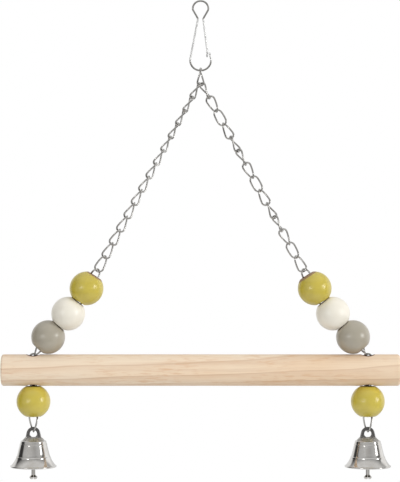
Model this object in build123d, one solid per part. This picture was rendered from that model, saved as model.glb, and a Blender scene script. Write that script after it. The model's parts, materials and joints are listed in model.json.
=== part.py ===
from build123d import *
import math
import os

# Bird swing, in millimetres. +Z is up, +X runs along the perch and -Y faces the viewer.
# The origin is the middle of the eye of the snap hook that the swing hangs by.

# Clearances
link_gap = 0.13      # between two chain links where one hangs in the other
bead_gap = 0.1       # between two beads, at the nearest point of their rims
rest_gap = 0.2       # between a bead and the perch
bell_gap = 0.25      # between a bell's crown and the link that it hangs on
tang_gap = 0.05      # round the tang of a bell's crown
split_gap = 0.12     # in the hook's wire, where its gate flexes

# Snap hook, bent from one wire
hook_wire = 0.9
hook_length = 34.9
eye_half_width = 3.9
eye_flat = 0.3
eye_shoulder_drop = 0.45
eye_shoulder_bend = 1.2
neck_drop = 5.0
neck_half_gap = 1.28
neck_bend = 1.5
neck_run = 0.9
bow_radius = 5.1
bow_flat = 0.3
stub_lean = 16.0
stub_rise = 9.0
gate_knee_rise = 10.6
gate_tip_length = 3.9
gate_tip_bend = 3.0
gate_tip_round = 0.3

# Chain of twisted wire links
chain_wire = 0.9
link_pitch = 7.61
link_end_radius = 2.15
link_twist = 52.0
links_to_perch = 21
loose_links = 14
yoke_spread = 29.0
left_first_turn = -21.0
left_turn_step = 2.3
right_first_turn = 130.0
right_turn_step = -34.6
hidden_turn_step = -38.0
mouth_turn = -52.0
bell_link_turn = 128.0

# Beads
bead_diameter = 17.0
bead_length = 15.2
bead_bore = 6.4
bead_bore_round = 0.3
bead_leans = {"olive": 33.0, "cream": 39.0, "grey": 42.0}
grey_bead_offset = 7.4

# Stop pins in the lower beads
pin_diameter = 1.2
pin_bite = 2.4

# Perch, a wooden dowel
perch_diameter = 15.8
perch_length = 200.0
perch_end_round = 1.2
hole_inset = 16.0
hole_diameter = 7.0
mouth_depth = 0.2

# Bells
crown_hole = 3.6
crown_strap = 1.65
crown_thickness = 1.4
crown_edge_round = 0.45
crown_drop = 5.1
crown_foot_radius = 5.6
crown_foot_top = 4.3
crown_foot_height = 1.3
tang_diameter = 2.0
shell_shoulder_radius = 6.5
shell_shoulder_round = 0.8
shell_waist_radius = 7.95
shell_waist_drop = 6.5
shell_mouth_radius = 11.55
shell_height = 13.0
shell_wall = 0.7
lip_wire = 0.9
ring_radius = 1.4
ring_wire = 0.9
tang_reach = 0.6
clapper_rod = 2.0
clapper_tip_diameter = 4.1
clapper_tip_height = 2.6
clapper_tip_shoulder = 1.1
clapper_end_diameter = 3.0
clapper_below_mouth = 6.4

SIDES = {"left": -1, "right": 1}
hole_spacing = perch_length - 2 * hole_inset


# Helpers for round wire

def wire_bend(centre, axis, start, turn, wire):
    """Round wire that leaves a start point and turns about an axis through a centre."""
    heading = axis.cross(start - centre)
    section = Plane(origin=start, z_dir=heading) * Circle(wire / 2)
    return revolve(section, Axis(centre, axis), turn)


def bent_wire(points, bends, wire):
    """Round wire along straight runs, with one bend radius for each inner point."""
    path = FilletPolyline(*points, radius=bends)
    section = Plane(origin=path @ 0, z_dir=path % 0) * Circle(wire / 2)
    return sweep(section, path=path)


def point_along(points, distance):
    """The point at a distance along a line of straight runs."""
    for here, there in zip(points, points[1:]):
        run = (there - here).length
        if distance <= run:
            return here + (there - here) * (distance / run)
        distance -= run
    return points[-1] + (points[-1] - points[-2]).normalized() * distance


# Snap hook and its gate

bow_bottom = eye_half_width - hook_length


def leg_lean():
    """How far the hook's leg leans from vertical, from its neck to the side of its bow."""
    across = neck_half_gap - bow_flat / 2
    down = -neck_drop - (bow_bottom + bow_radius)
    return math.asin(bow_radius / math.hypot(across, down)) - math.atan2(across, down)


def stub_x(rise):
    """Where the wire of the hook's stub stands, at a rise above the bottom of the bow."""
    corner = bow_flat / 2 + bow_radius * math.tan(math.radians(45 + stub_lean / 2))
    return corner - rise * math.tan(math.radians(stub_lean))


neck = Vector(neck_half_gap, 0, -neck_drop)
gate_tip_x = stub_x(stub_rise) - (hook_wire + split_gap) / math.cos(math.radians(stub_lean))
gate_knee = Vector(gate_tip_x, 0, bow_bottom + gate_knee_rise)
gate_heading = (gate_knee - neck).normalized()
gate_split = neck + gate_heading * neck_run


def make_snap_hook():
    """The fixed wire: stub, bow, leg, eye and the neck up to where the gate flexes."""
    leg_corner = -neck_half_gap - (-neck_drop - bow_bottom) * math.tan(leg_lean())
    points = [
        (stub_x(stub_rise), 0, bow_bottom + stub_rise),
        (stub_x(0), 0, bow_bottom),
        (leg_corner, 0, bow_bottom),
        (-neck_half_gap, 0, -neck_drop),
        (-eye_half_width, 0, -eye_shoulder_drop),
        (-eye_half_width, 0, eye_half_width),
        (eye_half_width, 0, eye_half_width),
        (eye_half_width, 0, -eye_shoulder_drop),
        tuple(neck),
        tuple(gate_split),
    ]
    eye_bend = eye_half_width - eye_flat / 2
    bends = [bow_radius, bow_radius, neck_bend, eye_shoulder_bend]
    bends += [eye_bend, eye_bend, eye_shoulder_bend, neck_bend]
    return bent_wire(points, bends, hook_wire)


def make_gate():
    """The springy arm, whose bent tip shuts against the inside of the stub."""
    tip = gate_knee + Vector(0, 0, -gate_tip_length)
    start = gate_split + gate_heading * split_gap
    gate = bent_wire([tuple(start), tuple(gate_knee), tuple(tip)], [gate_tip_bend], hook_wire)
    tip_edge = gate.edges().sort_by(Axis.Z)[0]
    return fillet(tip_edge, gate_tip_round)


# Chain link: two half-round ends, turned against each other, and two S-shaped sides

link_half = link_pitch / 2 + link_gap / 2 + chain_wire / 2
link_end_height = link_half - link_end_radius


def make_link():
    """One link, upright about its own middle, with its ends turned half the twist each way."""
    half_twist = math.radians(link_twist / 2)
    across = link_end_radius * math.cos(half_twist)
    aside = link_end_radius * math.sin(half_twist)
    side_turn = 2 * math.atan2(aside, link_end_height)
    side_radius = link_end_height / math.sin(side_turn)
    link = None
    for way in (1, -1):
        end = Vector(0, 0, way * link_end_height)
        foot = Vector(across, way * aside, way * link_end_height)
        bow_axis = (foot - end).cross(Vector(0, 0, way))
        bow = wire_bend(end, bow_axis, foot, 180, chain_wire)
        link = bow if link is None else link + bow
        for flip in (1, -1):
            start = Vector(flip * foot.X, flip * foot.Y, foot.Z)
            centre = start - Vector(0, flip * way * side_radius, 0)
            axis = Vector(-flip, 0, 0)
            link += wire_bend(centre, axis, start, math.degrees(side_turn), chain_wire)
    length = 2 * math.pi * link_end_radius + 4 * side_radius * side_turn
    print("link volume", round(link.volume, 3), "section times length",
          round(math.pi * chain_wire ** 2 / 4 * length, 3))
    return link


def place_link(link, top, bottom, turn):
    """A link hung from one point to the next, its upper end turned from the front-back plane."""
    up = (top - bottom).normalized()
    front = Vector(0, 1, 0) - up * up.Y
    front = front.normalized()
    side = front.cross(up)
    angle = math.radians(turn + link_twist / 2)
    facing = front * math.cos(angle) + side * math.sin(angle)
    return Plane(origin=(top + bottom) * 0.5, x_dir=facing, z_dir=up) * link


# Where everything hangs

bead_radius = bead_diameter / 2
bead_half = bead_length / 2
bead_flat = math.sqrt(bead_radius ** 2 - bead_half ** 2)
contact_reach = link_end_radius - chain_wire / 2 - link_gap / 2

yoke_top = Vector(0, 0, bow_bottom + hook_wire / 2 + link_gap / 2)
yoke_bottom = yoke_top - Vector(0, 0, link_pitch)
yoke_bow_centre = yoke_bottom + Vector(0, 0, contact_reach)


def strand_start(side):
    """Where a strand's first link hangs in the lower bow of the yoke link."""
    spread, plane = math.radians(yoke_spread), math.radians(link_twist)
    along = Vector(math.sin(plane), math.cos(plane), 0) * (side * math.sin(spread))
    return yoke_bow_centre + (along - Vector(0, 0, math.cos(spread))) * contact_reach


def up_along(side, lean):
    """The direction up a strand that leans towards the hook."""
    angle = math.radians(lean)
    return Vector(-side * math.sin(angle), 0, math.cos(angle))


def rim_gap(lean, other_lean):
    """Half the gap between two beads on their axes, so that their tilted rims stay clear."""
    tilt = math.radians(abs(lean - other_lean) / 2)
    return bead_gap / 2 + bead_flat * math.tan(tilt)


def bead_stack(side):
    """Bead centres, and the chain's way from the top bead to the link in the hole's mouth.

    Heights count from the top of the perch.
    """
    x = side * hole_spacing / 2
    names = ["grey", "cream", "olive"]
    centre = Vector(x - side * grey_bead_offset, 0, bead_radius + rest_gap)
    mouth = Vector(x, 0, -mouth_depth - contact_reach)
    way = [mouth, centre - up_along(side, bead_leans["grey"]) * bead_half]
    centres = {"grey": centre}
    for lower, upper in zip(names, names[1:]):
        reach = bead_half + rim_gap(bead_leans[lower], bead_leans[upper])
        meeting = centres[lower] + up_along(side, bead_leans[lower]) * reach
        centres[upper] = meeting + up_along(side, bead_leans[upper]) * reach
        way.append(meeting)
    way.append(centres["olive"] + up_along(side, bead_leans["olive"]) * bead_half)
    return centres, way[::-1]


def path_length(points):
    """The length of a line of straight runs."""
    return sum((b - a).length for a, b in zip(points, points[1:]))


def find_perch_top():
    """The height of the perch, from the chain's length and the spread of the two strands."""
    start = strand_start(1)
    way = bead_stack(1)[1]
    straight = links_to_perch * link_pitch + contact_reach - path_length(way)
    across = Vector(way[0].X - start.X, way[0].Y - start.Y, 0).length
    return start.Z - math.sqrt(straight ** 2 - across ** 2) - way[0].Z


perch_top = find_perch_top()
perch_axis = perch_top - perch_diameter / 2
perch_bottom = perch_top - perch_diameter
lower_bead_centre = perch_bottom - rest_gap - bead_half
perch_links = int((mouth_depth + lower_bead_centre - bead_half - perch_top) / -link_pitch)
mouth_height = perch_top - mouth_depth
chain_end = mouth_height - perch_links * link_pitch
bell_hang = chain_end - link_pitch - link_gap / 2 + bell_gap


def hang_points(side):
    """The points where a strand's links hang in each other, from the yoke to the perch."""
    rise = Vector(0, 0, perch_top)
    way = [strand_start(side)] + [point + rise for point in bead_stack(side)[1]]
    return [point_along(way, n * link_pitch) for n in range(links_to_perch + 1)]


def drop_points(side):
    """The points where the links below hang in each other, from the perch to the bell."""
    x = side * hole_spacing / 2
    return [Vector(x, 0, mouth_height - n * link_pitch) for n in range(perch_links + 2)]


def link_turns(side):
    """How far each link of a strand is turned about its own length."""
    first, step = (left_first_turn, left_turn_step) if side < 0 else (right_first_turn, right_turn_step)
    turns = [first + n * step for n in range(loose_links)]
    last = links_to_perch - 1
    hidden = range(loose_links, links_to_perch + perch_links)
    turns += [mouth_turn + (n - last) * hidden_turn_step for n in hidden]
    return turns + [bell_link_turn]


# Beads, pins and perch

def make_bead():
    """A turned wooden bead, cut flat at both ends, with its bore along Z."""
    bead = Sphere(bead_radius) & Box(bead_diameter, bead_diameter, bead_length)
    bead -= Cylinder(bead_bore / 2, bead_diameter)
    rims = bead.edges().filter_by(GeomType.CIRCLE).filter_by_position(Axis.Z, bead_half, bead_half)
    rims += bead.edges().filter_by(GeomType.CIRCLE).filter_by_position(Axis.Z, -bead_half, -bead_half)
    return fillet([rim for rim in rims if rim.radius < bead_flat], bead_bore_round)


pin_height = chain_end + link_gap * 1.5 + chain_wire + pin_diameter / 2
pin_length = bead_bore + 2 * pin_bite


def make_stop_pin():
    """The pin across the chain that the lower bead, and so the perch, rests on."""
    return Rot(0, 90, 0) * Cylinder(pin_diameter / 2, pin_length)


def make_lower_bead(side):
    """A bead under the perch, drilled from its outer side for the stop pin."""
    drill_length = pin_length / 2 + bead_diameter
    drill_middle = side * (drill_length - pin_length) / 2
    drill = Rot(0, 90, 0) * Cylinder(pin_diameter / 2, drill_length)
    return make_bead() - Pos(drill_middle, 0, pin_height - lower_bead_centre) * drill


def make_perch():
    """The dowel, with rounded ends and an upright hole near each end."""
    dowel = Rot(0, 90, 0) * Cylinder(perch_diameter / 2, perch_length)
    dowel = fillet(dowel.edges().filter_by(GeomType.CIRCLE), perch_end_round)
    for side in SIDES.values():
        dowel -= Pos(side * hole_spacing / 2, 0, 0) * Cylinder(hole_diameter / 2, 2 * perch_diameter)
    return Pos(0, 0, perch_axis) * dowel


# Bells, drawn about the top of the hole in the crown

shell_top = -crown_drop
mouth_level = shell_top - shell_height
upper_ring = shell_top - shell_wall - tang_reach - ring_radius
lower_ring = upper_ring - 2 * ring_radius + ring_wire + link_gap


def make_crown():
    """The arched crown, its foot on the shell, and the tang and ring that carry the clapper."""
    hole_centre = -crown_hole / 2
    arch = crown_hole / 2 + crown_strap
    down = hole_centre - shell_top
    lean = math.acos(arch / math.hypot(crown_foot_top, down)) - math.atan2(down, crown_foot_top)
    touch = (arch * math.cos(lean), hole_centre + arch * math.sin(lean))
    outline = [
        Line((-crown_foot_top, shell_top), (crown_foot_top, shell_top)),
        Line((crown_foot_top, shell_top), touch),
        ThreePointArc(touch, (0, hole_centre + arch), (-touch[0], touch[1])),
        Line((-touch[0], touch[1]), (-crown_foot_top, shell_top)),
    ]
    crown = extrude(Plane.XZ * make_face(outline), crown_thickness / 2, both=True)
    crown -= Pos(0, 0, hole_centre) * Rot(90, 0, 0) * Cylinder(crown_hole / 2, 2 * crown_thickness)
    rims = crown.faces().filter_by(Axis.Y).edges().filter_by(GeomType.CIRCLE)
    crown = fillet(rims, crown_edge_round)
    cone = Cone(crown_foot_radius, crown_foot_top, crown_foot_height)
    crown += Pos(0, 0, shell_top + crown_foot_height / 2) * cone
    tang_length = shell_top - (upper_ring + ring_radius)
    tang = Cylinder(tang_diameter / 2, tang_length)
    crown += Pos(0, 0, shell_top - tang_length / 2) * tang
    return crown + Pos(0, 0, upper_ring) * Rot(0, 90, 0) * Torus(ring_radius, ring_wire / 2)


def shell_outline(inset):
    """Half of the bell's outline, set in from the outside, from its axis to its mouth."""
    top = shell_top - inset
    shoulder = shell_shoulder_radius - inset
    corner = shell_shoulder_round - inset / 2
    waist = (shell_waist_radius - inset, shell_top - shell_waist_drop)
    mouth = (shell_mouth_radius - inset, mouth_level)
    side = (waist[0] - shoulder, waist[1] - (top - corner))
    return [
        Line((0, top), (shoulder - corner, top)),
        TangentArc((shoulder - corner, top), (shoulder, top - corner), tangent=(1, 0)),
        Line((shoulder, top - corner), waist),
        TangentArc(waist, mouth, tangent=side),
    ], mouth


def make_shell():
    """The thin flared shell, with a rolled lip at its mouth and a hole for the crown's tang."""
    outer, outer_mouth = shell_outline(0)
    inner, inner_mouth = shell_outline(shell_wall)
    closing = [Line(outer_mouth, inner_mouth), Line((0, shell_top - shell_wall), (0, shell_top))]
    shell = revolve(Plane.XZ * make_face(outer + inner + closing), Axis.Z)
    shell += Pos(0, 0, mouth_level) * Torus(shell_mouth_radius - shell_wall / 2, lip_wire / 2)
    hole = Cylinder(tang_diameter / 2 + tang_gap, 4 * shell_wall)
    return shell - Pos(0, 0, shell_top) * hole


def make_clapper():
    """The clapper: a ring that hangs in the crown's ring, a rod and a splayed tip."""
    end = mouth_level - clapper_below_mouth
    rod_top = lower_ring - ring_radius
    rod = Pos(0, 0, (rod_top + end) / 2) * Cylinder(clapper_rod / 2, rod_top - end)
    tip_outline = Polyline(
        (0, end + clapper_tip_height),
        (clapper_rod / 2, end + clapper_tip_height),
        (clapper_tip_diameter / 2, end + clapper_tip_shoulder),
        (clapper_end_diameter / 2, end),
        (0, end),
        close=True,
    )
    tip = revolve(Plane.XZ * make_face(tip_outline), Axis.Z)
    ring = Pos(0, 0, lower_ring) * Rot(90, 0, 0) * Torus(ring_radius, ring_wire / 2)
    return ring + rod + tip


# All the pieces, by name

def make_all():
    """Every piece where it hangs, by the name of its file."""
    link, bead = make_link(), make_bead()
    pieces = {
        "snap_hook": make_snap_hook(),
        "snap_hook_gate": make_gate(),
        "yoke_link": place_link(link, yoke_top, yoke_bottom, 0),
        "perch": make_perch(),
    }
    for name, side in SIDES.items():
        strand, drop = hang_points(side), drop_points(side)
        ends = list(zip(strand, strand[1:])) + list(zip(drop, drop[1:]))
        links = [place_link(link, *pair, turn) for pair, turn in zip(ends, link_turns(side))]
        for number, one in enumerate(links[:loose_links], 1):
            pieces[f"{name}_link_{number:02d}"] = one
        pieces[f"{name}_bead_links"] = Compound(children=links[loose_links:links_to_perch])
        pieces[f"{name}_perch_links"] = Compound(children=links[links_to_perch:-1])
        pieces[f"{name}_bell_link"] = links[-1]
        for colour, centre in bead_stack(side)[0].items():
            axis = up_along(side, bead_leans[colour])
            seat = Plane(origin=centre + Vector(0, 0, perch_top), z_dir=axis)
            pieces[f"{name}_{colour}_bead"] = seat * bead
        x = side * hole_spacing / 2
        pieces[f"{name}_lower_bead"] = Pos(x, 0, lower_bead_centre) * make_lower_bead(side)
        pieces[f"{name}_stop_pin"] = Pos(x, 0, pin_height) * make_stop_pin()
        hang = Pos(x, 0, bell_hang)
        pieces[f"{name}_bell_crown"] = hang * make_crown()
        pieces[f"{name}_bell_shell"] = hang * make_shell()
        pieces[f"{name}_bell_clapper"] = hang * make_clapper()
    return pieces


os.makedirs("parts", exist_ok=True)
for node, piece in make_all().items():
    export_step(piece, f"parts/{node}.step")
print("perch top", round(perch_top, 3), "chain end", round(chain_end, 3), "bell", round(bell_hang, 3))
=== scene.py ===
"""Dresses a bird swing: hook wire, chain, painted beads, dowel perch and bells, in a plain white studio."""
import json
import logging
import math
from dataclasses import dataclass
from enum import Enum
from typing import Optional, Sequence

import bpy
from mathutils import Matrix, Vector


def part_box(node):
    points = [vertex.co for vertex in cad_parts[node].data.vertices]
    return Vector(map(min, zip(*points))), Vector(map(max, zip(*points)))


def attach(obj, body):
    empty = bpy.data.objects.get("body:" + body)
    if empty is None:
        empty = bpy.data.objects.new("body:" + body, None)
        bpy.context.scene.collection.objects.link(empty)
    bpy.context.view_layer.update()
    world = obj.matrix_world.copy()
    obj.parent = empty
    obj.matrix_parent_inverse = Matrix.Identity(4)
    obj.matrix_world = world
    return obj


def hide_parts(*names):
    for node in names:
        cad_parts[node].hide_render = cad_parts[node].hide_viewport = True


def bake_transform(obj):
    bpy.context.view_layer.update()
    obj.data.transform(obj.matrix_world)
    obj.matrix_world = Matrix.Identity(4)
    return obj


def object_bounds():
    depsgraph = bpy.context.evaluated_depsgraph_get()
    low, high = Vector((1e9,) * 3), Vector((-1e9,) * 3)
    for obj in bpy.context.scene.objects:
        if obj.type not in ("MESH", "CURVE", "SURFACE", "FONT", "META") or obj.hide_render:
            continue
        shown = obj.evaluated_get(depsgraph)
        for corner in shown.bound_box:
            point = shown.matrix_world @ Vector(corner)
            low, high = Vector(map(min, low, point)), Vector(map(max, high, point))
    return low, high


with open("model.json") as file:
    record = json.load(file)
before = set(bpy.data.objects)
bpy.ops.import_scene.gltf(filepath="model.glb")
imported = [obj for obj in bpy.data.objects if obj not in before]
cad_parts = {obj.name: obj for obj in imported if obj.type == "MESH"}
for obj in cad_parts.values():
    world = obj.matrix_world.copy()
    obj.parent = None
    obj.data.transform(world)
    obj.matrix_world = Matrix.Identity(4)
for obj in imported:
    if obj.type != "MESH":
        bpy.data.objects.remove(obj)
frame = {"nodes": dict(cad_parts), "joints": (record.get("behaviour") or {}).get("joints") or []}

LOG = logging.getLogger("bird_swing")
MM = 0.001
WELD = 1e-6
CAD_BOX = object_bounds()


class Side(Enum):
    """The two sides of the swing, as the viewer sees them."""

    LEFT = "left"
    RIGHT = "right"


class BeadColour(Enum):
    """The beads of one side, from the top of the strand down."""

    OLIVE = "olive"
    CREAM = "cream"
    GREY = "grey"
    LOWER = "lower"

    @property
    def paint(self) -> str:
        """The material slot of this bead's paint."""
        return "olive_paint" if self is BeadColour.LOWER else f"{self.value}_paint"


# Materials


class NodeBench:
    """Short ways to add nodes to a node tree."""

    def __init__(self, tree: bpy.types.NodeTree) -> None:
        """Takes up the node tree of a material or a world."""
        self.nodes = tree.nodes
        self.links = tree.links

    def add(self, kind: str, inputs: Optional[dict] = None, **settings: object) -> bpy.types.Node:
        """Adds a node.

        Args:
            kind: The node's type, without its prefix.
            inputs: Socket values or sockets to join, by socket name or number.
            settings: The node's own settings.

        Returns:
            The new node.
        """
        node = self.nodes.new(f"ShaderNode{kind}")
        for name, value in settings.items():
            setattr(node, name, value)
        for key, value in (inputs or {}).items():
            self.feed(node.inputs[key], value)
        return node

    def feed(self, socket: bpy.types.NodeSocket, value: object) -> None:
        """Joins a socket to another one, or sets its value."""
        if isinstance(value, bpy.types.NodeSocket):
            self.links.new(value, socket)
        else:
            socket.default_value = value

    def place(self, scale: Sequence[float] = (1, 1, 1), turn: Sequence[float] = (0, 0, 0),
              move: Sequence[float] = (0, 0, 0)) -> bpy.types.NodeSocket:
        """Object coordinates, moved, turned and scaled.

        Args:
            scale: Scale along each axis.
            turn: Turn about each axis, in radians.
            move: Shift along each axis, in metres.

        Returns:
            The socket with the coordinates.
        """
        where = self.add("TexCoord").outputs["Object"]
        inputs = {"Vector": where, "Location": move, "Rotation": turn, "Scale": scale}
        return self.add("Mapping", inputs).outputs["Vector"]

    def noise(self, where: bpy.types.NodeSocket, scale: float, detail: float = 2.0,
              roughness: float = 0.5) -> bpy.types.NodeSocket:
        """A noise pattern.

        Args:
            where: The coordinates to read.
            scale: Repeats in a metre.
            detail: Octaves.
            roughness: The weight of the finer octaves.

        Returns:
            The socket with the pattern's value.
        """
        inputs = {"Vector": where, "Scale": scale, "Detail": detail, "Roughness": roughness}
        return self.add("TexNoise", inputs).outputs["Fac"]

    def span(self, value: bpy.types.NodeSocket, low: float, high: float, start: float = 0.3,
             end: float = 0.7) -> bpy.types.NodeSocket:
        """A value carried from one range to another.

        Args:
            value: The socket to read.
            low: The result at the start.
            high: The result at the end.
            start: The value that gives the low result.
            end: The value that gives the high result.

        Returns:
            The socket with the result.
        """
        inputs = {"Value": value, "From Min": start, "From Max": end, "To Min": low, "To Max": high}
        return self.add("MapRange", inputs).outputs["Result"]

    def tint(self, share: bpy.types.NodeSocket, first: object, second: object) -> bpy.types.NodeSocket:
        """A mix of two colours.

        Args:
            share: How much of the second colour.
            first: A colour or a socket.
            second: A colour or a socket.

        Returns:
            The socket with the mixed colour.
        """
        node = self.add("Mix", data_type="RGBA")
        self.feed(node.inputs["Factor"], share)
        for socket, value in ((node.inputs[6], first), (node.inputs[7], second)):
            self.feed(socket, value if isinstance(value, bpy.types.NodeSocket) else (*value, 1.0))
        return node.outputs[2]

    def sum(self, kind: str, *values: object) -> bpy.types.NodeSocket:
        """A sum in numbers.

        Args:
            kind: The operation's name.
            values: Numbers or sockets.

        Returns:
            The socket with the result.
        """
        return self.add("Math", dict(enumerate(values)), operation=kind).outputs[0]

    def axis(self, where: bpy.types.NodeSocket, name: str) -> bpy.types.NodeSocket:
        """One of a vector's three parts."""
        return self.add("SeparateXYZ", {0: where}).outputs[name]

    def length(self, where: bpy.types.NodeSocket) -> bpy.types.NodeSocket:
        """A vector's length."""
        return self.add("VectorMath", {0: where}, operation="LENGTH").outputs["Value"]

    def ramp(self, value: bpy.types.NodeSocket, stops: Sequence[tuple], ease: str = "LINEAR") -> bpy.types.NodeSocket:
        """A grey that follows a value through set stops.

        Args:
            value: The socket to read, from 0 to 1.
            stops: The place and grey of each stop.
            ease: How the greys run together.

        Returns:
            The socket with the grey.
        """
        node = self.add("ValToRGB", {"Fac": value})
        node.color_ramp.interpolation = ease
        while len(node.color_ramp.elements) < len(stops):
            node.color_ramp.elements.new(0.5)
        for stop, (place, grey) in zip(node.color_ramp.elements, stops):
            stop.position, stop.color = place, (grey, grey, grey, 1)
        return node.outputs["Color"]


class Recipe(NodeBench):
    """A new material with one principled shader."""

    def __init__(self, name: str) -> None:
        """Starts the material under its name."""
        self.material = bpy.data.materials.new(name)
        self.material.use_nodes = True
        super().__init__(self.material.node_tree)
        self.surface = self.nodes["Principled BSDF"]

    def bump(self, height: bpy.types.NodeSocket, strength: float, distance: float) -> None:
        """Gives the surface a fine relief.

        Args:
            height: The socket with the relief's height.
            strength: How strongly it shows.
            distance: The relief's depth in metres.
        """
        inputs = {"Height": height, "Strength": strength, "Distance": distance}
        self.feed(self.surface.inputs["Normal"], self.add("Bump", inputs).outputs["Normal"])

    def set(self, **values: object) -> None:
        """Sets or joins the shader's own sockets, by name with underscores for spaces."""
        for name, value in values.items():
            self.feed(self.surface.inputs[name.replace("_", " ")], value)


@dataclass(frozen=True)
class Nickel:
    """Bright nickel plate: faint clouding, fine drawn marks and a little tarnish."""

    name: str
    colour: tuple = (0.68, 0.665, 0.64)
    tarnish: tuple = (0.50, 0.465, 0.42)
    smooth: float = 0.10
    dull: float = 0.24
    marks: tuple = (900, 900, 900)
    clouds: float = 260
    tarnished: float = 0.55
    relief: float = 0.05
    depth: float = 0.01 * MM

    def material(self) -> bpy.types.Material:
        """Makes the material."""
        recipe = Recipe(self.name)
        fine = recipe.noise(recipe.place(scale=self.marks), 1.0, 3, 0.6)
        recipe.set(Base_Color=self.plate(recipe), Metallic=1.0, Roughness=recipe.span(fine, self.smooth, self.dull))
        recipe.bump(fine, self.relief, self.depth)
        return recipe.material

    def plate(self, recipe: Recipe) -> bpy.types.NodeSocket:
        """The plate's colour, clouded by tarnish."""
        cloud = recipe.noise(recipe.place(), self.clouds, 4, 0.6)
        return recipe.tint(recipe.span(cloud, 0.0, self.tarnished, 0.42, 0.72), self.colour, self.tarnish)


@dataclass(frozen=True)
class BentNickel(Nickel):
    """Nickel plate on the bent wire of the hook: bright along the arms, with painted dark reflection where it is bent
    round at the eye and the bow.
    """

    # painted dark reflection: the wire's colour where the eye and the bow turn round, standing in for the dim room
    # mirrored above and below
    bend: tuple = (0.40, 0.39, 0.37)
    arms: tuple = (-27.0 * MM, -4.6 * MM)
    fade: float = 1.5 * MM

    def plate(self, recipe: Recipe) -> bpy.types.NodeSocket:
        """The plate's colour, with painted dark reflection above and below the arms."""
        height = recipe.axis(recipe.place(), "Z")
        low, high = self.arms
        above = recipe.span(height, 0.0, 1.0, high - self.fade, high)
        below = recipe.span(height, 1.0, 0.0, low, low + self.fade)
        # mixes the painted dark reflection of the bends in above and below the arms
        return recipe.tint(recipe.sum("MAXIMUM", above, below), super().plate(recipe), self.bend)


@dataclass(frozen=True)
class CastCrown:
    """A cast crown: a dark polished arch over a foot that is left grainy."""

    name: str = "crown_nickel"
    dark: tuple = (0.16, 0.155, 0.15)
    grain: tuple = (0.62, 0.60, 0.56)
    pit: tuple = (0.25, 0.24, 0.22)
    grit: float = 2200
    fade: float = 0.8 * MM
    relief: float = 0.5
    depth: float = 0.12 * MM
    polished: float = 0.16
    rough: float = 0.42

    def material(self, foot_height: float) -> bpy.types.Material:
        """Makes the material.

        Args:
            foot_height: The height where the foot ends.

        Returns:
            The new material.
        """
        recipe = Recipe(self.name)
        coarse = recipe.noise(recipe.place(), self.grit, 3, 0.6)
        height = recipe.axis(recipe.place(), "Z")
        foot = recipe.span(height, 1.0, 0.0, foot_height, foot_height + self.fade)
        cast = recipe.tint(recipe.span(coarse, 0.0, 1.0, 0.4, 0.62), self.grain, self.pit)
        recipe.set(Base_Color=recipe.tint(foot, self.dark, cast), Metallic=1.0)
        recipe.set(Roughness=recipe.span(foot, self.polished, self.rough, 0.0, 1.0))
        recipe.bump(recipe.sum("MULTIPLY", coarse, foot), self.relief, self.depth)
        return recipe.material


@dataclass(frozen=True)
class BeadPaint:
    """Satin paint on a turned bead, worn through to bare wood at the edges of the bore."""

    name: str
    colour: tuple
    shade: tuple
    wood: tuple = (0.42, 0.27, 0.14)
    wood_dark: tuple = (0.22, 0.12, 0.05)
    clouds: float = 190
    peel: float = 2600
    grain: tuple = (1400, 1400, 180)
    ior: float = 1.8
    satin: float = 0.29
    raw: float = 0.75
    relief: float = 0.2
    depth: float = 0.05 * MM

    def material(self) -> bpy.types.Material:
        """Makes the material."""
        recipe = Recipe(self.name)
        cloud = recipe.noise(recipe.place(), self.clouds, 3, 0.55)
        peel = recipe.noise(recipe.place(), self.peel, 2, 0.5)
        grain = recipe.noise(recipe.place(scale=self.grain), 1.0, 3, 0.6)
        paint = recipe.tint(recipe.span(cloud, 0.0, 0.5, 0.35, 0.7), self.colour, self.shade)
        wood = recipe.tint(grain, self.wood, self.wood_dark)
        bare = recipe.add("Attribute", attribute_name="bare").outputs["Fac"]
        edge = recipe.sum("ADD", bare, recipe.span(peel, -0.25, 0.25))
        worn = recipe.span(edge, 0.0, 1.0, 0.45, 0.6)
        recipe.set(Base_Color=recipe.tint(worn, paint, wood), IOR=self.ior)
        recipe.set(Roughness=recipe.span(worn, self.satin, self.raw, 0.0, 1.0))
        bared = recipe.sum("MULTIPLY_ADD", grain, 0.35, peel)
        height = recipe.sum("MULTIPLY_ADD", bared, worn, recipe.sum("MULTIPLY", peel, 0.1))
        recipe.bump(height, self.relief, self.depth)
        return recipe.material


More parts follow.
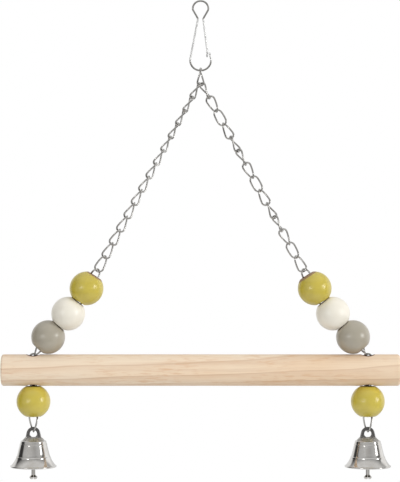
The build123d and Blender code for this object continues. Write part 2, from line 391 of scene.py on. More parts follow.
@dataclass(frozen=True)
class PineDowel:
    """Sanded pine: rings about the tree's leaning heart, streaks and pores along the grain, and dark holes: raw wood
    inside the bores, with painted shade on a thin band round their mouths where the beads press on.
    """

    name: str = "perch_pine"
    pale: tuple = (0.83, 0.69, 0.53)
    warm: tuple = (0.80, 0.60, 0.41)
    late: tuple = (0.58, 0.37, 0.23)
    pore: tuple = (0.50, 0.33, 0.20)
    fleck: tuple = (0.66, 0.40, 0.22)
    # dark raw wood inside the bores; the same colour is painted shade on the band round each hole's mouth
    raw: tuple = (0.30, 0.13, 0.07)
    ring_width: float = 5.6 * MM
    heart_back: float = 12 * MM
    heart_height: float = -44 * MM
    lean: float = math.radians(2.3)
    warp: float = 6.0 * MM
    # width of the painted shade band round each hole's mouth, where the beads meet the dowel
    mouth_shade_width: float = 0.35 * MM
    relief: float = 0.25
    depth: float = 0.08 * MM

    def rings(self, recipe: Recipe, axis_height: float) -> bpy.types.NodeSocket:
        """The late wood at the end of each year's ring.

        Args:
            recipe: The material's recipe.
            axis_height: The height of the dowel's axis.

        Returns:
            The socket with the share of late wood.
        """
        warp = recipe.noise(recipe.place(scale=(7, 40, 40)), 1.0, 3, 0.55)
        where = recipe.place(turn=(0, self.lean, 0), move=(0, -self.heart_back, -axis_height - self.heart_height))
        flat = recipe.add("CombineXYZ", {name: recipe.axis(where, name) for name in "YZ"}).outputs[0]
        bent = recipe.sum("MULTIPLY_ADD", warp, self.warp, recipe.length(flat))
        phase = recipe.sum("FRACT", recipe.sum("DIVIDE", bent, self.ring_width))
        return recipe.ramp(phase, ((0.0, 0.0), (0.55, 0.12), (0.88, 0.45), (0.94, 1.0), (0.99, 0.1)))

    def near_holes(self, recipe: Recipe, holes: Sequence[float], bore: float) -> bpy.types.NodeSocket:
        """How near a place is to one of the holes: the mask of the dark raw bores and of the painted shade round their
        mouths.

        Args:
            recipe: The material's recipe.
            holes: Where the holes stand along the dowel.
            bore: The holes' radius.

        Returns:
            The socket with 1 in a hole and 0 away from it.
        """
        near = None
        for hole in holes:
            where = recipe.place(move=(-hole, 0, 0), scale=(1, 1, 0))
            apart = recipe.length(where)
            here = recipe.span(apart, 1.0, 0.0, bore * 0.99, bore + self.mouth_shade_width)
            near = here if near is None else recipe.sum("MAXIMUM", near, here)
        return near

    def material(self, axis_height: float, holes: Sequence[float], bore: float) -> bpy.types.Material:
        """Makes the material.

        Args:
            axis_height: The height of the dowel's axis.
            holes: Where the holes stand along the dowel.
            bore: The holes' radius.

        Returns:
            The new material.
        """
        recipe = Recipe(self.name)
        pores = recipe.noise(recipe.place(scale=(60, 2200, 2200)), 1.0, 3, 0.65)
        streaks = recipe.noise(recipe.place(scale=(9, 420, 420), turn=(0, self.lean, 0)), 1.0, 3, 0.6)
        flecks = recipe.noise(recipe.place(scale=(170, 1300, 1300), turn=(0, self.lean, 0)), 1.0, 2, 0.5)
        patches = recipe.noise(recipe.place(scale=(34, 110, 110)), 1.0, 2, 0.5)
        cloud = recipe.noise(recipe.place(scale=(13, 70, 70)), 1.0, 2, 0.5)
        along = recipe.axis(recipe.place(), "X")
        resin = recipe.sum("ADD", cloud, recipe.span(along, 0.0, 0.16, -40 * MM, 60 * MM))
        base = recipe.tint(recipe.span(resin, 0.0, 0.9, 0.48, 0.74), self.pale, self.warm)
        base = recipe.tint(recipe.span(streaks, 0.0, 0.34, 0.46, 0.75), base, self.late)
        late = recipe.sum("MULTIPLY", self.rings(recipe, axis_height), recipe.span(cloud, 0.45, 0.95))
        base = recipe.tint(late, base, self.late)
        base = recipe.tint(recipe.span(pores, 0.0, 0.3, 0.55, 0.8), base, self.pore)
        fleck = recipe.span(flecks, 0.0, 0.6, 0.5, 0.66)
        marks = recipe.sum("MULTIPLY", fleck, recipe.span(patches, 0.1, 1.0, 0.4, 0.62))
        base = recipe.tint(marks, base, self.fleck)
        # dark raw wood in the bores, and painted shade on a thin band round their mouths where the beads meet the
        # dowel
        recipe.set(Base_Color=recipe.tint(self.near_holes(recipe, holes, bore), base, self.raw))
        recipe.set(Roughness=recipe.span(pores, 0.5, 0.68))
        recipe.bump(pores, self.relief, self.depth)
        return recipe.material


# Modelling helpers


def fresh_start() -> None:
    """Leaves edit mode and clears the selection."""
    if bpy.context.object is not None and bpy.context.object.mode != "OBJECT":
        bpy.ops.object.mode_set(mode="OBJECT")
    bpy.ops.object.select_all(action="DESELECT")


def pick(*pieces: bpy.types.Object) -> None:
    """Makes these pieces the only ones selected, and the first of them active."""
    fresh_start()
    for piece in pieces:
        piece.select_set(True)
    bpy.context.view_layer.objects.active = pieces[0]


def made(name: str) -> bpy.types.Object:
    """The object just added, named, with its place applied to its mesh."""
    piece = bpy.context.object
    piece.name = name
    bpy.ops.object.transform_apply(location=True, rotation=True, scale=True)
    return piece


def begin_edit() -> None:
    """Opens the active object for editing, all of it selected."""
    bpy.ops.object.mode_set(mode="EDIT")
    bpy.ops.mesh.select_all(action="SELECT")


def weld() -> None:
    """Merges what lies together, and leaves all selected."""
    bpy.ops.mesh.select_all(action="SELECT")
    bpy.ops.mesh.remove_doubles(threshold=WELD)


def settle(piece: bpy.types.Object, smooth_angle: float = 40.0) -> bpy.types.Object:
    """Faces a finished piece outwards, applies its place to its mesh and shades it.

    Args:
        piece: The piece, as the active object.
        smooth_angle: Edges sharper than this, in degrees, stay crisp.

    Returns:
        The same piece.
    """
    begin_edit()
    bpy.ops.mesh.normals_make_consistent(inside=False)
    bpy.ops.object.mode_set(mode="OBJECT")
    bpy.ops.object.transform_apply(location=True, rotation=True, scale=True)
    bpy.ops.object.shade_smooth_by_angle(angle=math.radians(smooth_angle))
    return piece


def give(piece: bpy.types.Object, material: bpy.types.Material) -> None:
    """Makes a material the only one on a piece."""
    piece.data.materials.clear()
    piece.data.materials.append(material)


def dress_node(name: str, material: bpy.types.Material) -> None:
    """Gives a CAD node a better material and leaves its mesh alone."""
    give(frame["nodes"][name], material)


@dataclass
class WireBench:
    """Bends round wire: a circle is drawn along straight runs and spun round each bend."""

    wire: float
    sides: int = 20
    bend_step: float = math.radians(7.5)
    tip: float = 0.55
    shortest_run: float = 1e-7
    start_steps: tuple = ((0.55, 0.0), (0.82, 0.12), (0.96, 0.28), (1.0, 0.5))
    end_steps: tuple = ((1.0, 0.0), (0.96, 0.22), (0.82, 0.38), (0.55, 0.5))

    def bend_up(self, name: str, points: Sequence[Vector], bends: Sequence[float],
                rounded: tuple = (True, True)) -> bpy.types.Object:
        """Makes a wire.

        Args:
            name: The piece's name.
            points: The corners of the wire's run, in metres.
            bends: A bend radius for each inner corner.
            rounded: Whether each end is rounded over.

        Returns:
            The new piece, still in edit mode.
        """
        fresh_start()
        heading = (points[1] - points[0]).normalized()
        turn = heading.to_track_quat("Z", "Y").to_euler()
        radius = self.wire / 2
        tip = radius * self.tip if rounded[0] else radius
        bpy.ops.mesh.primitive_circle_add(vertices=self.sides, radius=tip, location=points[0], rotation=turn)
        piece = made(name)
        begin_edit()
        here = points[0]
        if rounded[0]:
            here = self.flare(here, heading, self.start_steps)
        for corner, after, bend in zip(points[1:-1], points[2:], bends):
            here = self.corner(here, corner, after, bend)
        last = (points[-1] - here).normalized()
        run = (points[-1] - here).length - (radius * 0.5 if rounded[1] else 0)
        here = self.draw(here, last * run)
        if rounded[1]:
            self.flare(here, last, self.end_steps)
            bpy.ops.mesh.select_all(action="SELECT")
            bpy.ops.mesh.fill_holes(sides=0)
        return piece

    def draw(self, here: Vector, run: Vector) -> Vector:
        """Draws the selected ring along a straight run, and returns where it then is."""
        bpy.ops.mesh.extrude_region_move(TRANSFORM_OT_translate={"value": run})
        return here + run

    def flare(self, here: Vector, heading: Vector, steps: Sequence[tuple]) -> Vector:
        """Rounds an end in a few drawn and scaled steps.

        Args:
            here: The middle of the selected ring.
            heading: The wire's direction.
            steps: The width and place of each ring, as shares of the wire's radius.

        Returns:
            The middle of the last ring.
        """
        for (width, place), (next_width, next_place) in zip(steps, steps[1:]):
            here = self.draw(here, heading * ((next_place - place) * self.wire / 2))
            share = next_width / width
            bpy.ops.transform.resize(value=(share, share, share), center_override=here)
        return here

    def corner(self, here: Vector, corner: Vector, after: Vector, bend: float) -> Vector:
        """Draws the wire up to a corner and spins it round.

        Args:
            here: The middle of the selected ring.
            corner: The corner.
            after: The next corner.
            bend: The bend's radius.

        Returns:
            Where the bend ends.
        """
        heading, leaving = (corner - here).normalized(), (after - corner).normalized()
        turn = heading.angle(leaving)
        setback = bend * math.tan(turn / 2)
        run = (corner - here).length - setback
        if run > self.shortest_run:
            here = self.draw(here, heading * run)
        inward = (leaving - heading * heading.dot(leaving)).normalized()
        steps = max(3, math.ceil(turn / self.bend_step))
        axis = heading.cross(leaving).normalized()
        bpy.ops.mesh.spin(steps=steps, angle=-turn, center=here + inward * bend, axis=axis)
        return corner + leaving * setback


@dataclass
class Lathe:
    """Turns pieces about an upright axis: a point is drawn out along a profile, which is then spun round."""

    segments: int = 96

    def turn(self, name: str, foot: Vector, profile: Sequence[tuple]) -> bpy.types.Object:
        """Turns a piece.

        Args:
            name: The piece's name.
            foot: The point on the axis that the profile's heights count from.
            profile: The radius and height of each point, from start to start or from axis to axis.

        Returns:
            The new piece, still in edit mode, all of it selected.
        """
        fresh_start()
        points = [foot + Vector((radius, 0, height)) for radius, height in profile]
        bpy.ops.mesh.primitive_plane_add(size=1.0 * MM, location=points[0])
        piece = made(name)
        begin_edit()
        bpy.ops.mesh.merge(type="CENTER")
        for here, there in zip(points, points[1:]):
            bpy.ops.mesh.extrude_region_move(TRANSFORM_OT_translate={"value": there - here})
        bpy.ops.mesh.select_all(action="SELECT")
        bpy.ops.mesh.spin(steps=self.segments, angle=2 * math.pi, center=foot, axis=(0, 0, 1))
        weld()
        return piece


# Sub-assemblies


@dataclass
class SnapHook:
    """The hook, bent from one wire: stub, bow, leg, eye and springy gate. Sizes in metres."""

    wire: float = 0.9 * MM
    length: float = 34.9 * MM
    eye_half_width: float = 3.9 * MM
    eye_flat: float = 0.3 * MM
    shoulder_drop: float = 0.45 * MM
    shoulder_bend: float = 1.2 * MM
    neck_drop: float = 5.0 * MM
    neck_half_gap: float = 1.28 * MM
    neck_bend: float = 1.5 * MM
    neck_run: float = 0.9 * MM
    bow_radius: float = 5.1 * MM
    bow_flat: float = 0.3 * MM
    stub_lean: float = math.radians(16)
    stub_top: float = -22.0 * MM
    gate_knee_height: float = -20.4 * MM
    gate_tip_length: float = 3.9 * MM
    gate_tip_bend: float = 3.0 * MM
    flex_run: float = 5.0 * MM
    split_gap: float = 0.12 * MM

    @property
    def bow_bottom(self) -> float:
        """The height of the wire at the bottom of the bow."""
        return self.eye_half_width - self.length

    def stub_x(self, height: float) -> float:
        """Where the stub's wire stands at a height."""
        corner = self.bow_flat / 2 + self.bow_radius * math.tan(math.pi / 4 + self.stub_lean / 2)
        return corner - (height - self.bow_bottom) * math.tan(self.stub_lean)

    def leg_corner(self) -> float:
        """Where the leg, carried straight on, meets the level of the bow's bottom."""
        across = self.neck_half_gap - self.bow_flat / 2
        down = -self.neck_drop - (self.bow_bottom + self.bow_radius)
        lean = math.asin(self.bow_radius / math.hypot(across, down)) - math.atan2(across, down)
        return -self.neck_half_gap - (-self.neck_drop - self.bow_bottom) * math.tan(lean)

    def gate_knee(self) -> Vector:
        """The corner where the gate bends down along the stub."""
        apart = (self.wire + self.split_gap) / math.cos(self.stub_lean)
        return Vector((self.stub_x(self.stub_top) - apart, 0, self.gate_knee_height))

    def build(self) -> list[bpy.types.Object]:
        """Bends the fixed wire and the gate, and returns both."""
        bench = WireBench(self.wire)
        neck = Vector((self.neck_half_gap, 0, -self.neck_drop))
        knee = self.gate_knee()
        heading = (knee - neck).normalized()
        split = neck + heading * self.neck_run
        eye = self.eye_half_width
        points = [
            Vector((self.stub_x(self.stub_top), 0, self.stub_top)),
            Vector((self.stub_x(self.bow_bottom), 0, self.bow_bottom)),
            Vector((self.leg_corner(), 0, self.bow_bottom)),
            Vector((-self.neck_half_gap, 0, -self.neck_drop)),
            Vector((-eye, 0, -self.shoulder_drop)),
            Vector((-eye, 0, eye)),
            Vector((eye, 0, eye)),
            Vector((eye, 0, -self.shoulder_drop)),
            neck,
            split,
        ]
        eye_bend = eye - self.eye_flat / 2
        bends = [self.bow_radius, self.bow_radius, self.neck_bend, self.shoulder_bend, eye_bend, eye_bend,
                 self.shoulder_bend, self.neck_bend]
        fixed = settle(bench.bend_up("hook_wire", points, bends, (True, False)))
        tip = knee - Vector((0, 0, self.gate_tip_length))
        gate = settle(bench.bend_up("gate_wire", [split, knee, tip], [self.gate_tip_bend], (False, True)))
        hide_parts("snap_hook")
        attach(fixed, "hook")
        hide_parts("snap_hook_gate")
        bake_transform(gate)
        return [fixed, gate]


@dataclass
class Chain:
    """The chain. Its open links and those in the beads are bent from wire; those in the perch keep their CAD form.

    A turn is that of a link's middle from the front-back plane, in degrees. Pairs are for the left and right strand.
    """

    wire: float = 0.9 * MM
    end_radius: float = 2.15 * MM
    end_height: float = 2.17 * MM
    twist: float = math.radians(88)
    runs: int = 12
    wire_sides: int = 16
    smooth_angle: float = 60.0
    count: int = 14
    yoke_turn: float = 24.0
    top_turns: tuple = (12.0, 168.0)
    second_turns: tuple = (4.8, 121.4)
    turn_steps: tuple = (3.8, -34.6)
    bell_turn: float = 130.0
    pitch: float = 7.61 * MM
    last_extra: tuple = (11.6, 0.0)
    bead_turns: tuple = ((78.0, 136.0), (80.0, 158.0))
    kept: tuple = ("perch_links", "stop_pin")
    pattern: Optional[bpy.types.Object] = None

    def make_pattern(self) -> None:
        """Bends the link that the others are copied from, upright about the origin, and twists it."""
        fresh_start()
        start = (self.end_radius, 0, -self.end_height)
        bpy.ops.mesh.primitive_circle_add(vertices=self.wire_sides, radius=self.wire / 2, location=start)
        link = made("link_pattern")
        begin_edit()
        for way in (1, -1):
            run = (0, 0, way * 2 * self.end_height / self.runs)
            for _ in range(self.runs):
                bpy.ops.mesh.extrude_region_move(TRANSFORM_OT_translate={"value": run})
            middle = (0, 0, way * self.end_height)
            bpy.ops.mesh.spin(steps=2 * self.runs, angle=-math.pi, center=middle, axis=(0, -1, 0))
        weld()
        bpy.ops.object.mode_set(mode="OBJECT")
        twist = link.modifiers.new("twist", "SIMPLE_DEFORM")
        twist.deform_method, twist.deform_axis, twist.angle = "TWIST", "Z", self.twist
        bpy.ops.object.modifier_apply(modifier=twist.name)
        self.pattern = settle(link, self.smooth_angle)

    def place(self, name: str, middle: Vector, up: Vector, turn: float) -> bpy.types.Object:
        """Sets a copy of the link in its place.

        Args:
            name: The copy's name.
            middle: The middle of the copy.
            up: The direction of the link's length.
            turn: The link's turn.

        Returns:
            The copy.
        """
        pick(self.pattern)
        bpy.ops.object.duplicate()
        link = bpy.context.object
        link.name = name
        front = (Vector((0, 1, 0)) - up * up.y).normalized()
        angle = math.radians(turn)
        facing = front * math.cos(angle) + front.cross(up) * math.sin(angle)
        turned = Matrix((facing, up.cross(facing), up)).transposed()
        link.matrix_world = Matrix.Translation(middle) @ turned.to_4x4()
        bpy.ops.object.transform_apply(location=True, rotation=True, scale=True)
        return link

    def hang(self, node: str, body: str, up: Vector, turn: float) -> bpy.types.Object:
        """Hangs a copy of the link in place of a CAD node.

        Args:
            node: The node that the copy stands for.
            body: The body that it rides on.
            up: The direction of the link's length.
            turn: The link's turn.

        Returns:
            The copy.
        """
        link = self.place(f"{node}_bent", self.middle(frame["nodes"][node]), up, turn)
        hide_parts(node)
        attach(link, body)
        return link

    def thread(self, side: Side, start: Vector, turns: Sequence[float]) -> bpy.types.Object:
        """Threads the links of one stack of beads, as one piece.

        Args:
            side: The stack's side.
            start: The point where the first link hangs.
            turns: The turns of the first and the last link.

        Returns:
            The piece.
        """
        node = f"{side.value}_bead_links"
        middles = self.middles(frame["nodes"][node])
        step = (turns[1] - turns[0]) / (len(middles) - 1)
        links, point = [], start
        for number, middle in enumerate(middles):
            up = (point - middle).normalized()
            links.append(self.place(f"{node}_{number}", middle, up, turns[0] + number * step))
            point = 2 * middle - point
        pick(*links)
        bpy.ops.object.join()
        chain = bpy.context.object
        chain.name = f"{node}_bent"
        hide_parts(node)
        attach(chain, f"{side.value}_bead_chain")
        return chain

    @staticmethod
    def middle(link: bpy.types.Object) -> Vector:
        """The middle of a CAD link, which is the middle of its surface."""
        faces = link.data.polygons
        area = sum(face.area for face in faces)
        return link.matrix_world @ (sum((face.center * face.area for face in faces), Vector()) / area)

    def middles(self, node: bpy.types.Object) -> list[Vector]:
        """The middles of the links of a CAD node that holds several, from the top down."""
        copy = bpy.data.objects.new("links_apart", node.data.copy())
        copy.matrix_world = node.matrix_world
        bpy.context.scene.collection.objects.link(copy)
        pick(copy)
        begin_edit()
        bpy.ops.mesh.remove_doubles(threshold=WELD)
        bpy.ops.mesh.separate(type="LOOSE")
        bpy.ops.object.mode_set(mode="OBJECT")
        parts = list(bpy.context.selected_objects)
        spots = sorted((self.middle(part) for part in parts), key=lambda spot: -spot.z)
        for part in parts:
            bpy.data.objects.remove(part)
        return spots

    def turns(self, place: int) -> list[float]:
        """The turns of a strand's open links, from the yoke down; place 0 is the left strand, 1 the right."""
        second, step = self.second_turns[place], self.turn_steps[place]
        turns = [self.top_turns[place]] + [second + number * step for number in range(self.count - 1)]
        turns[-1] += self.last_extra[place]
        return turns

    def build(self, nickel: bpy.types.Material) -> list[bpy.types.Object]:
        """Hangs and threads the links, and plates the whole chain.

        Args:
            nickel: The plate on the chain.

        Returns:
            The new pieces.
        """
        self.make_pattern()
        plumb = Vector((0, 0, 1))
        links = [self.hang("yoke_link", "yoke", plumb, self.yoke_turn)]
        for place, side in enumerate(Side):
            for name in self.kept:
                dress_node(f"{side.value}_{name}", nickel)
            nodes = [f"{side.value}_link_{number:02d}" for number in range(1, self.count + 1)]
            first, last = (self.middle(frame["nodes"][node]) for node in (nodes[0], nodes[-1]))
            up = (first - last).normalized()
            links += [self.hang(node, node, up, turn) for node, turn in zip(nodes, self.turns(place))]
            links.append(self.thread(side, last - up * self.pitch / 2, self.bead_turns[place]))
            node = f"{side.value}_bell_link"
            links.append(self.hang(node, node, plumb, self.bell_turn))
        bpy.data.objects.remove(self.pattern)
        for link in links:
            give(link, nickel)
        return links


@dataclass
class Bead:
    """One turned bead: a ball cut flat at its bore, drilled, with rounded edges; bare_reach is the wear at its top."""

    side: Side
    colour: BeadColour
    diameter: float = 17.0 * MM
    length: float = 15.2 * MM
    bore: float = 6.4 * MM
    rim_round: float = 0.3 * MM
    bare_reach: float = 0.0
    segments: int = 72
    rings: int = 40

    @property
    def node(self) -> str:
        """The name of the bead's CAD node, and of its body where it spins."""
        return f"{self.side.value}_{self.colour.value}_bead"

    @property
    def body(self) -> str:
        """The body that carries the bead."""
        return "perch" if self.colour is BeadColour.LOWER else self.node

    @property
    def flat_radius(self) -> float:
        """The outer radius of the flat cut at each end."""
        return math.sqrt(self.diameter ** 2 - self.length ** 2) / 2

    def axis(self) -> Vector:
        """The direction of the bore."""
        for joint in frame["joints"]:
            if joint["child"] == self.node:
                return Vector(joint["axis"])
        return Vector((0, 0, 1))

    def build(self) -> bpy.types.Object:
        """Turns, cuts and drills the bead, and returns it."""
        low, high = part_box(self.node)
        fresh_start()
        bpy.ops.mesh.primitive_uv_sphere_add(segments=self.segments, ring_count=self.rings, radius=self.diameter / 2)
        piece = bpy.context.object
        piece.name = f"{self.node}_painted"
        bpy.ops.object.mode_set(mode="EDIT")
        for way in (1, -1):
            bpy.ops.mesh.select_all(action="SELECT")
            bpy.ops.mesh.bisect(plane_co=(0, 0, way * self.length / 2), plane_no=(0, 0, way), clear_outer=True)
        bpy.ops.mesh.select_all(action="DESELECT")
        bpy.ops.mesh.select_non_manifold()
        bpy.ops.mesh.extrude_region_move()
        share = self.bore / 2 / self.flat_radius
        bpy.ops.transform.resize(value=(share, share, 1), center_override=(0, 0, 0))
        bpy.ops.mesh.bridge_edge_loops(number_cuts=6)
        self.select_rims(piece)
        bpy.ops.mesh.bevel(offset=self.rim_round, segments=4, affect="EDGES")
        bpy.ops.object.mode_set(mode="OBJECT")
        self.mark_bare(piece)
        piece.rotation_mode = "QUATERNION"
        piece.rotation_quaternion = self.axis().to_track_quat("Z", "Y")
        piece.location = (low + high) / 2
        settle(piece)
        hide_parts(self.node)
        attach(piece, self.body)
        return piece

    def select_rims(self, piece: bpy.types.Object) -> None:
        """Selects the edges of the bore and of the flats."""
        bpy.ops.mesh.select_all(action="DESELECT")
        bpy.ops.object.mode_set(mode="OBJECT")
        mesh = piece.data
        for edge in mesh.edges:
            one, two = (mesh.vertices[i].co for i in edge.vertices)
            level = all(abs(abs(end.z) - self.length / 2) < WELD for end in (one, two))
            edge.select = level and abs(one.xy.length - two.xy.length) < WELD
        bpy.ops.object.mode_set(mode="EDIT")

    def mark_bare(self, piece: bpy.types.Object) -> None:
        """Marks the bore, the flats and what is left bare above, where the paint ends."""
        bare = piece.data.attributes.new("bare", "FLOAT", "POINT")
        for vertex, mark in zip(piece.data.vertices, bare.data):
            reach = self.flat_radius + (self.bare_reach if vertex.co.z > 0 else 0.0)
            inside = reach - math.hypot(vertex.co.x, vertex.co.y)
            mark.value = min(1.0, max(0.0, 0.5 + inside / self.rim_round))


@dataclass
class Perch:
    """The dowel, which keeps its CAD form. Sizes in metres."""

    hole_inset: float = 16 * MM
    hole_diameter: float = 7.0 * MM

    def dress(self, finish: PineDowel) -> None:
        """Gives the dowel its wood."""
        low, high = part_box("perch")
        holes = (low.x + self.hole_inset, high.x - self.hole_inset)
        dress_node("perch", finish.material((low.z + high.z) / 2, holes, self.hole_diameter / 2))


@dataclass
class Bell:
    """One bell: a cast crown, a turned shell with two low rings and a rolled lip, and a split clapper."""

    side: Side
    foot_rise: float = 1.3 * MM
    tang_hole: float = 1.05 * MM
    shoulder: float = 6.5 * MM
    shoulder_round: float = 0.8 * MM
    waist: float = 7.95 * MM
    waist_drop: float = 6.5 * MM
    mouth: float = 11.55 * MM
    height: float = 13.0 * MM
    wall: float = 0.7 * MM
    lip: float = 0.45 * MM
    ring_drops: tuple = (2.0 * MM, 8.4 * MM)
    ring_rise: float = 0.13 * MM
    ring_half: float = 0.45 * MM
    rod: float = 1.0 * MM
    tip: float = 2.05 * MM
    tip_height: float = 2.1 * MM
    tip_shoulder: float = 1.0 * MM
    tip_end: float = 1.6 * MM
    loop: float = 1.4 * MM
    loop_wire: float = 0.9 * MM
    slot_width: float = 0.5 * MM
    slot_depth: float = 0.9 * MM
    crisp: float = 30.0
    corner_steps: int = 8
    flank_steps: int = 80
    lip_steps: int = 18
    lip_start: float = math.radians(70)
    lip_turn: float = math.radians(270)
    clapper_segments: int = 48
    loop_sides: int = 20

    def node(self, piece: str) -> str:
        """The name of one of the bell's CAD nodes."""
        return f"{self.side.value}_bell_{piece}"

    def flank(self, drop: float) -> float:
        """The shell's outer radius at a drop below its top, without its rings."""
        if drop <= self.waist_drop:
            share = (drop - self.shoulder_round) / (self.waist_drop - self.shoulder_round)
            return self.shoulder + share * (self.waist - self.shoulder)
        start = math.atan2(self.waist - self.shoulder, self.waist_drop - self.shoulder_round)
        out, down = self.mouth - self.waist, self.height - self.waist_drop
        bend = math.atan2(out, down) - start
        radius = math.hypot(out, down) / (2 * math.sin(bend))
        lean = math.asin(math.sin(start) + (drop - self.waist_drop) / radius)
        return self.waist + radius * (math.cos(start) - math.cos(lean))

    def ringed(self, drop: float) -> float:
        """The shell's outer radius at a drop below its top, rings and all."""
        rise = 0.0
        for ring in self.ring_drops:
            near = (drop - ring) / self.ring_half
            if abs(near) < 1:
                rise += self.ring_rise * (1 + math.cos(math.pi * near)) / 2
        return self.flank(drop) + rise

    def shell_profile(self) -> list[tuple]:
        """The shell's outline, from the hole in its top round its lip and back inside."""
        corner = self.shoulder_round
        outside = [(self.tang_hole, 0.0)]
        for step in range(self.corner_steps + 1):
            turn = math.pi / 2 * (1 - step / self.corner_steps)
            outside.append((self.shoulder - corner + corner * math.cos(turn), -corner + corner * math.sin(turn)))
        steps, last = self.flank_steps, self.height - self.lip
        drops = [corner + (last - corner) * step / steps for step in range(1, steps + 1)]
        outside += [(self.ringed(drop), -drop) for drop in drops]
        turns = [self.lip_start - step * self.lip_turn / self.lip_steps for step in range(self.lip_steps + 1)]
        middle = self.mouth - self.wall / 2
        lip = [(middle + self.lip * math.cos(turn), -self.height + self.lip * math.sin(turn)) for turn in turns]
        inside = [(self.flank(drop) - self.wall, -drop) for drop in drops[::-4] if drop > 2 * self.wall]
        inside += [(self.shoulder - 2 * self.wall, -self.wall), (self.tang_hole, -self.wall)]
        return outside + lip + inside + outside[:1]

    def make_shell(self) -> bpy.types.Object:
        """Turns the shell."""
        low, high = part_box(self.node("shell"))
        top = Vector(((low.x + high.x) / 2, (low.y + high.y) / 2, high.z))
        shell = settle(Lathe().turn(f"{self.node('shell')}_turned", top, self.shell_profile()), self.crisp)
        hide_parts(self.node("shell"))
        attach(shell, f"{self.side.value}_bell")
        return shell

    def make_clapper(self) -> bpy.types.Object:
        """Turns the clapper's rod, splits its tip and adds the loop that it hangs by."""
        low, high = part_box(self.node("clapper"))
        end = Vector(((low.x + high.x) / 2, (low.y + high.y) / 2, low.z))
        loop_height = high.z - low.z - self.loop - self.loop_wire / 2
        profile = [(0.0, loop_height - self.loop), (self.rod, loop_height - self.loop), (self.rod, self.tip_height),
                   (self.tip, self.tip_shoulder), (self.tip * 0.98, self.tip_shoulder * 0.7), (self.tip_end, 0.0),
                   (0.0, 0.0)]
        lathe = Lathe(self.clapper_segments)
        clapper = settle(lathe.turn(f"{self.node('clapper')}_split", end, profile), self.crisp)
        bpy.ops.mesh.primitive_cube_add(size=1.0, location=end)
        slot = bpy.context.object
        slot.scale = (self.slot_width, 4 * self.tip, 2 * self.slot_depth)
        bpy.context.view_layer.objects.active = clapper
        cut = clapper.modifiers.new("slot", "BOOLEAN")
        cut.operation, cut.object = "DIFFERENCE", slot
        bpy.ops.object.modifier_apply(modifier=cut.name)
        bpy.data.objects.remove(slot)
        fresh_start()
        turn = (0, math.pi / 2, 0)
        bpy.ops.mesh.primitive_circle_add(vertices=self.loop_sides, radius=self.loop_wire / 2, rotation=turn,
                                          location=end + Vector((0, 0, loop_height + self.loop)))
        loop = made("clapper_loop")
        begin_edit()
        centre = end + Vector((0, 0, loop_height))
        bpy.ops.mesh.spin(steps=self.clapper_segments, angle=2 * math.pi, center=centre, axis=(0, 1, 0))
        weld()
        bpy.ops.object.mode_set(mode="OBJECT")
        pick(clapper, loop)
        bpy.ops.object.join()
        settle(clapper, self.crisp)
        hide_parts(self.node("clapper"))
        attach(clapper, f"{self.side.value}_clapper")
        return clapper

    def build(self, nickel: bpy.types.Material, cast: CastCrown) -> list[bpy.types.Object]:
        """Makes the shell and clapper and dresses the crown.

        Args:
            nickel: The plate on the shell and clapper.
            cast: The finish of the crown.

        Returns:
            The two new pieces.
        """
        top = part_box(self.node("shell"))[1].z
        dress_node(self.node("crown"), cast.material(top + self.foot_rise))
        pieces = [self.make_shell(), self.make_clapper()]
        for piece in pieces:
            give(piece, nickel)
        return pieces


# Studio


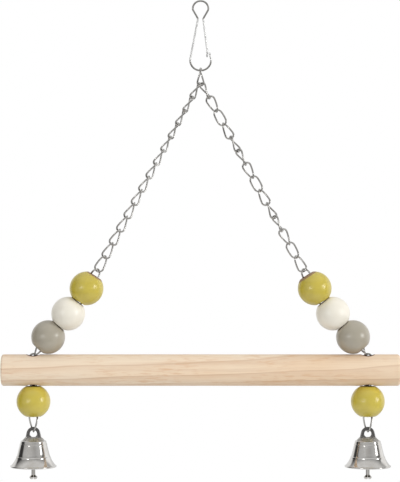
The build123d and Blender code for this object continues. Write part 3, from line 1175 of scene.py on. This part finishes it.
@dataclass
class Studio:
    """Camera, white surroundings, floor and soft lamps. Sizes in metres."""

    image_size: tuple = (400, 482)
    pixels_per_mm: float = 1.99
    origin_pixel: tuple = (200.6, 8.8)
    camera_distance: float = 1.0
    sensor: float = 36.0
    floor_gap: float = 0.07
    floor_radius: float = 0.42
    floor_grey: float = 0.9
    floor_fade: tuple = (0.45, 0.98)
    walls: tuple = ((-180, 0.85), (-134, 0.95), (-118, 0.05), (-86, 0.05), (-76, 0.55), (-30, 0.66), (20, 0.5),
                    (55, 0.62), (76, 0.2), (92, 0.2), (100, 1.1), (136, 1.1), (150, 0.8), (180, 0.85))
    heights: tuple = ((-1.0, 0.15), (-0.5, 0.25), (-0.15, 1.0), (0.45, 1.0), (0.6, 0.5), (1.0, 0.5))
    lid: float = 0.8
    lid_heights: tuple = (0.42, 0.78)
    panel_share: float = 0.7
    panel_edge: tuple = (1.2, 0.8)
    lamps: tuple = (
        ("key", (1.07, -0.49, 0.22), 0.50, 6.8, 8.0),
        ("fill", (-0.65, -1.00, 0.12), 0.36, 2.9, 7.0),
    )

    def set_camera(self) -> None:
        """Puts the camera where the picture was taken."""
        scale = self.pixels_per_mm / MM
        aside = (self.image_size[0] / 2 - self.origin_pixel[0]) / scale
        up = -(self.image_size[1] / 2 - self.origin_pixel[1]) / scale
        data = bpy.data.cameras.new("camera")
        data.sensor_width = self.sensor
        data.lens = self.sensor * self.camera_distance * scale / self.image_size[1]
        camera = bpy.data.objects.new("camera", data)
        camera.location = (aside, -self.camera_distance, up)
        camera.rotation_euler = (math.pi / 2, 0, 0)
        bpy.context.scene.collection.objects.link(camera)
        bpy.context.scene.camera = camera

    def set_world(self) -> None:
        """A white backdrop that the camera sees everywhere, with a dim room before it that the metal mirrors."""
        world = bpy.data.worlds.new("white_room")
        world.use_nodes = True
        bpy.context.scene.world = world
        bench = NodeBench(world.node_tree)
        bench.nodes.clear()
        way = bench.add("SeparateXYZ", {0: bench.add("TexCoord").outputs["Generated"]})
        ahead = bench.sum("MULTIPLY", way.outputs["Y"], -1.0)
        bearing = bench.sum("ARCTAN2", way.outputs["X"], ahead)
        walls = bench.ramp(bench.span(bearing, 0.0, 1.0, -math.pi, math.pi), self.shares(self.walls, 180))
        height = bench.ramp(bench.span(way.outputs["Z"], 0.0, 1.0, -1.0, 1.0), self.shares(self.heights, 1), "EASE")
        lid = bench.span(way.outputs["Z"], 0.0, self.lid, *self.lid_heights)
        grey = bench.sum("MAXIMUM", bench.sum("MULTIPLY", walls, height), lid)
        for _, place, size, _, glow in self.lamps:
            aim = {0: bench.add("TexCoord").outputs["Generated"], 1: Vector(place).normalized()}
            facing = bench.add("VectorMath", aim, operation="DOT_PRODUCT").outputs["Value"]
            reach = math.atan(self.panel_share * size / 2 / Vector(place).length)
            panel = bench.span(facing, 0.0, glow, *(math.cos(reach * edge) for edge in self.panel_edge))
            grey = bench.sum("MAXIMUM", grey, panel)
        camera = bench.add("LightPath").outputs["Is Camera Ray"]
        light = bench.add("Background", {"Strength": bench.sum("MAXIMUM", camera, grey)})
        bench.feed(light.inputs["Color"], (1, 1, 1, 1))
        bench.add("OutputWorld", {"Surface": light.outputs[0]})

    @staticmethod
    def shares(stops: Sequence[tuple], reach: float) -> list[tuple]:
        """Stops placed from -reach to reach, carried to places from 0 to 1."""
        return [((place + reach) / (2 * reach), grey) for place, grey in stops]

    def set_floor(self) -> None:
        """A pale floor below the bells that fades out at its edge."""
        low = CAD_BOX[0]
        fresh_start()
        bpy.ops.mesh.primitive_circle_add(vertices=96, radius=self.floor_radius, fill_type="NGON",
                                          location=(0, 0, low.z - self.floor_gap))
        floor = bpy.context.object
        floor.name = "floor"
        recipe = Recipe("floor_white")
        reach = recipe.length(recipe.place())
        recipe.set(Base_Color=(*[self.floor_grey] * 3, 1), Roughness=0.9)
        recipe.set(Alpha=recipe.span(reach, 1.0, 0.0, *(self.floor_radius * share for share in self.floor_fade)))
        give(floor, recipe.material)

    def set_lamps(self) -> None:
        """Two soft lamps in front, the right one brighter. Gloss shows their panels in the room instead."""
        low, high = CAD_BOX
        aim = (low + high) / 2
        for name, place, size, power, _ in self.lamps:
            data = bpy.data.lights.new(name, "AREA")
            data.shape, data.size, data.energy = "SQUARE", size, power
            lamp = bpy.data.objects.new(name, data)
            lamp.location = place
            lamp.visible_glossy = False
            lamp.rotation_euler = (aim - Vector(place)).to_track_quat("-Z", "Y").to_euler()
            bpy.context.scene.collection.objects.link(lamp)

    def build(self) -> None:
        """Sets up the whole studio."""
        self.set_camera()
        self.set_world()
        self.set_floor()
        self.set_lamps()
        bpy.context.scene.view_settings.view_transform = "Standard"


# the hook's plate, with painted dark reflection on its bends
HOOK_PLATE = BentNickel("hook_nickel", (0.79, 0.79, 0.78), (0.74, 0.735, 0.72), smooth=0.30, dull=0.38,
                        marks=(900, 900, 30))
CHAIN_PLATE = Nickel("chain_nickel", (0.54, 0.53, 0.51), (0.30, 0.285, 0.26), smooth=0.10, dull=0.20)
BELL_PLATE = Nickel("bell_nickel", smooth=0.06, dull=0.16, marks=(60, 60, 2600))
BARE_TOPS = {(Side.LEFT, BeadColour.OLIVE): 0.9 * MM, (Side.RIGHT, BeadColour.OLIVE): 1.6 * MM}
PAINTS = {
    "olive_paint": BeadPaint("olive_satin", (0.55, 0.445, 0.052), (0.47, 0.37, 0.04)),
    "cream_paint": BeadPaint("cream_satin", (0.84, 0.80, 0.70), (0.77, 0.72, 0.61)),
    "grey_paint": BeadPaint("grey_satin", (0.37, 0.335, 0.265), (0.32, 0.29, 0.225)),
}


def main() -> None:
    """Builds and dresses the whole swing."""
    logging.basicConfig(level=logging.INFO, format="%(name)s: %(message)s")
    Studio().build()
    wire = HOOK_PLATE.material()
    for piece in SnapHook().build():
        give(piece, wire)
        LOG.info("hook: %s", piece.name)
    links = Chain().build(CHAIN_PLATE.material())
    LOG.info("chain: %d pieces", len(links))
    paints = {slot: paint.material() for slot, paint in PAINTS.items()}
    for side in Side:
        for colour in BeadColour:
            bead = Bead(side, colour, bare_reach=BARE_TOPS.get((side, colour), 0.0)).build()
            give(bead, paints[colour.paint])
            LOG.info("bead: %s", bead.name)
    Perch().dress(PineDowel())
    bell_metal = BELL_PLATE.material()
    for side in Side:
        for piece in Bell(side).build(bell_metal, CastCrown()):
            LOG.info("bell: %s", piece.name)


if __name__ == "__main__":
    main()
